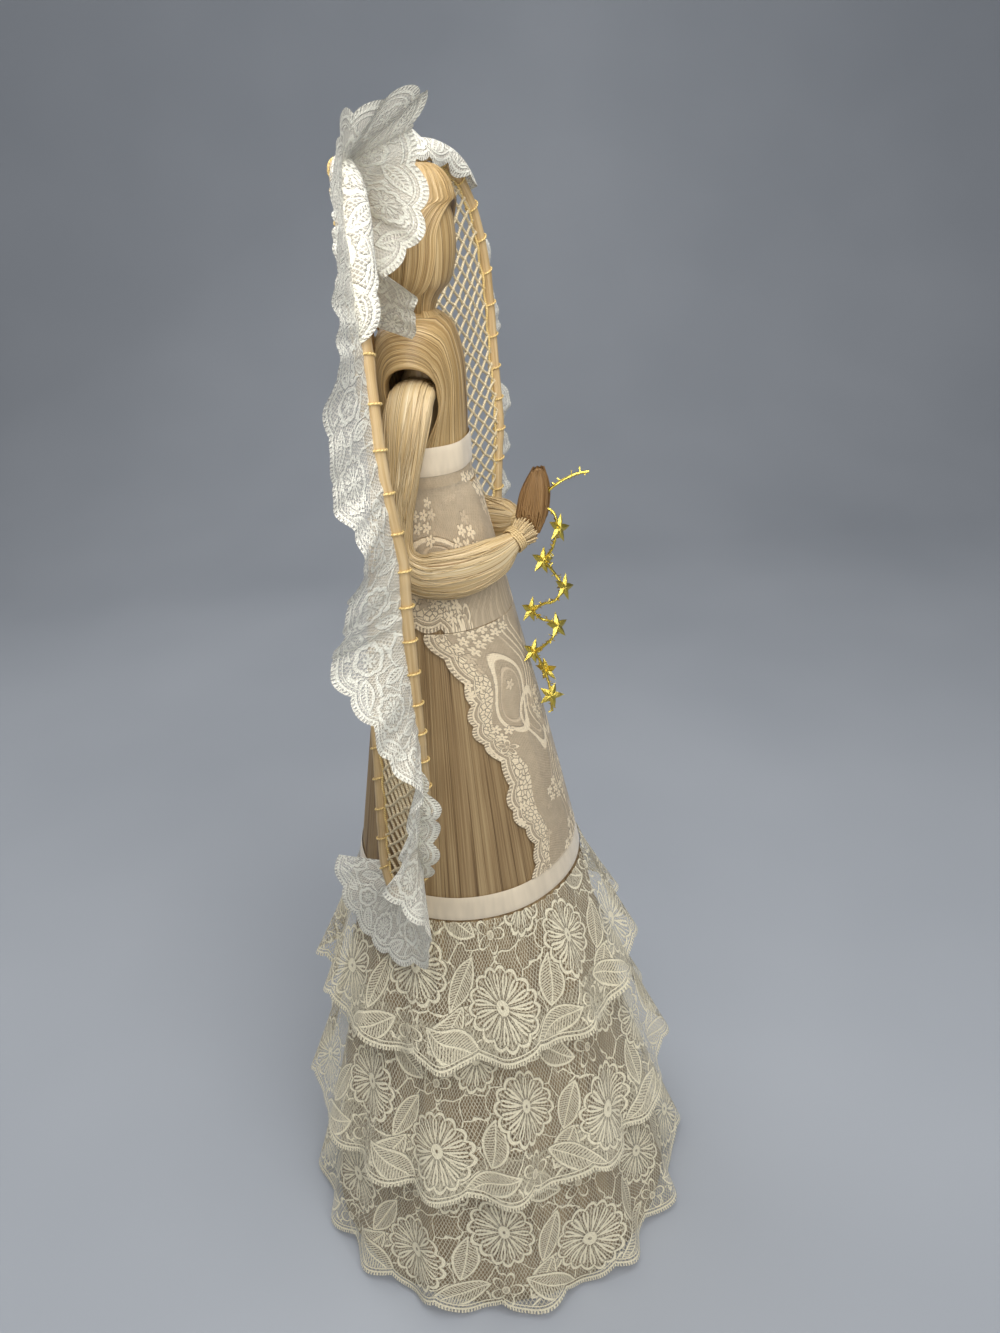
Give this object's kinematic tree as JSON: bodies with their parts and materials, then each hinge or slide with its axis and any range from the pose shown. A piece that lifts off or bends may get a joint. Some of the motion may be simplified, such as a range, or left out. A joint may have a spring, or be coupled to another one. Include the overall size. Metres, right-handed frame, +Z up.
{
  "type": "straw angel figurine",
  "caption": "Free-standing angel figurine of combed straw fibre over a cone, with lace flounces, satin ribbons, lace-edged net wings that swing on their lashings, and a star garland.",
  "frame": {"origin": "centre of the skirt's foot, on the floor", "axes": "+Z up; the figure faces -Y; its right side is -X"},
  "size_m": [0.2104, 0.1784, 0.4672],
  "materials": {
    "straw": "combed plant fibre",
    "blonde_fibre": "combed plant fibre, silky",
    "brown_fibre": "folded plant fibre",
    "card": "bare card",
    "thread": "wound thread",
    "satin": "satin ribbon",
    "ivory_lace": "machine lace",
    "blush_lace": "machine lace",
    "white_lace": "machine lace",
    "cane": "split cane",
    "net": "knotted thread net",
    "gold_foil": "gold foil"
  },
  "bodies": {
    "figure": {"right_hand": "brown_fibre", "right_arm": "blonde_fibre", "right_wrist_tie": "thread", "right_wing_lashing": "thread", "left_hand": "brown_fibre", "left_arm": "blonde_fibre", "left_wrist_tie": "thread", "left_wing_lashing": "thread", "card_cone": "card", "straw_skirt": "straw", "skirt_ribbon": "satin", "bodice_lace": "blush_lace", "apron_lace": "blush_lace", "lace_tier_upper": "ivory_lace", "lace_tier_middle": "ivory_lace", "lace_tier_lower": "ivory_lace", "torso_core": "straw", "shoulder_cape": "blonde_fibre", "bust_ribbon": "satin", "head_ball": "blonde_fibre", "neck_stem": "cane", "neck_tie": "thread", "hair": "blonde_fibre", "garland_wire": "gold_foil", "garland_tip": "gold_foil", "star_1": "gold_foil", "star_2": "gold_foil", "star_3": "gold_foil", "star_4": "gold_foil", "star_5": "gold_foil", "star_6": "gold_foil", "star_7": "gold_foil", "star_8": "gold_foil"},
    "right_wing": {"right_wing_frame": "cane", "right_wing_net": "net", "right_wing_lace": "white_lace"},
    "left_wing": {"left_wing_frame": "cane", "left_wing_net": "net", "left_wing_lace": "white_lace"}
  },
  "joints": [
    {"name": "right_wing_swing", "type": "hinge", "parent": "figure", "child": "right_wing", "pos_m": [-0.00575, 0.01837, 0.38], "axis": [0, 0, -1], "range_deg": [0, 15]},
    {"name": "left_wing_swing", "type": "hinge", "parent": "figure", "child": "left_wing", "pos_m": [0.00575, 0.01837, 0.38], "axis": [0, 0, 1], "range_deg": [0, 15]}
  ]
}
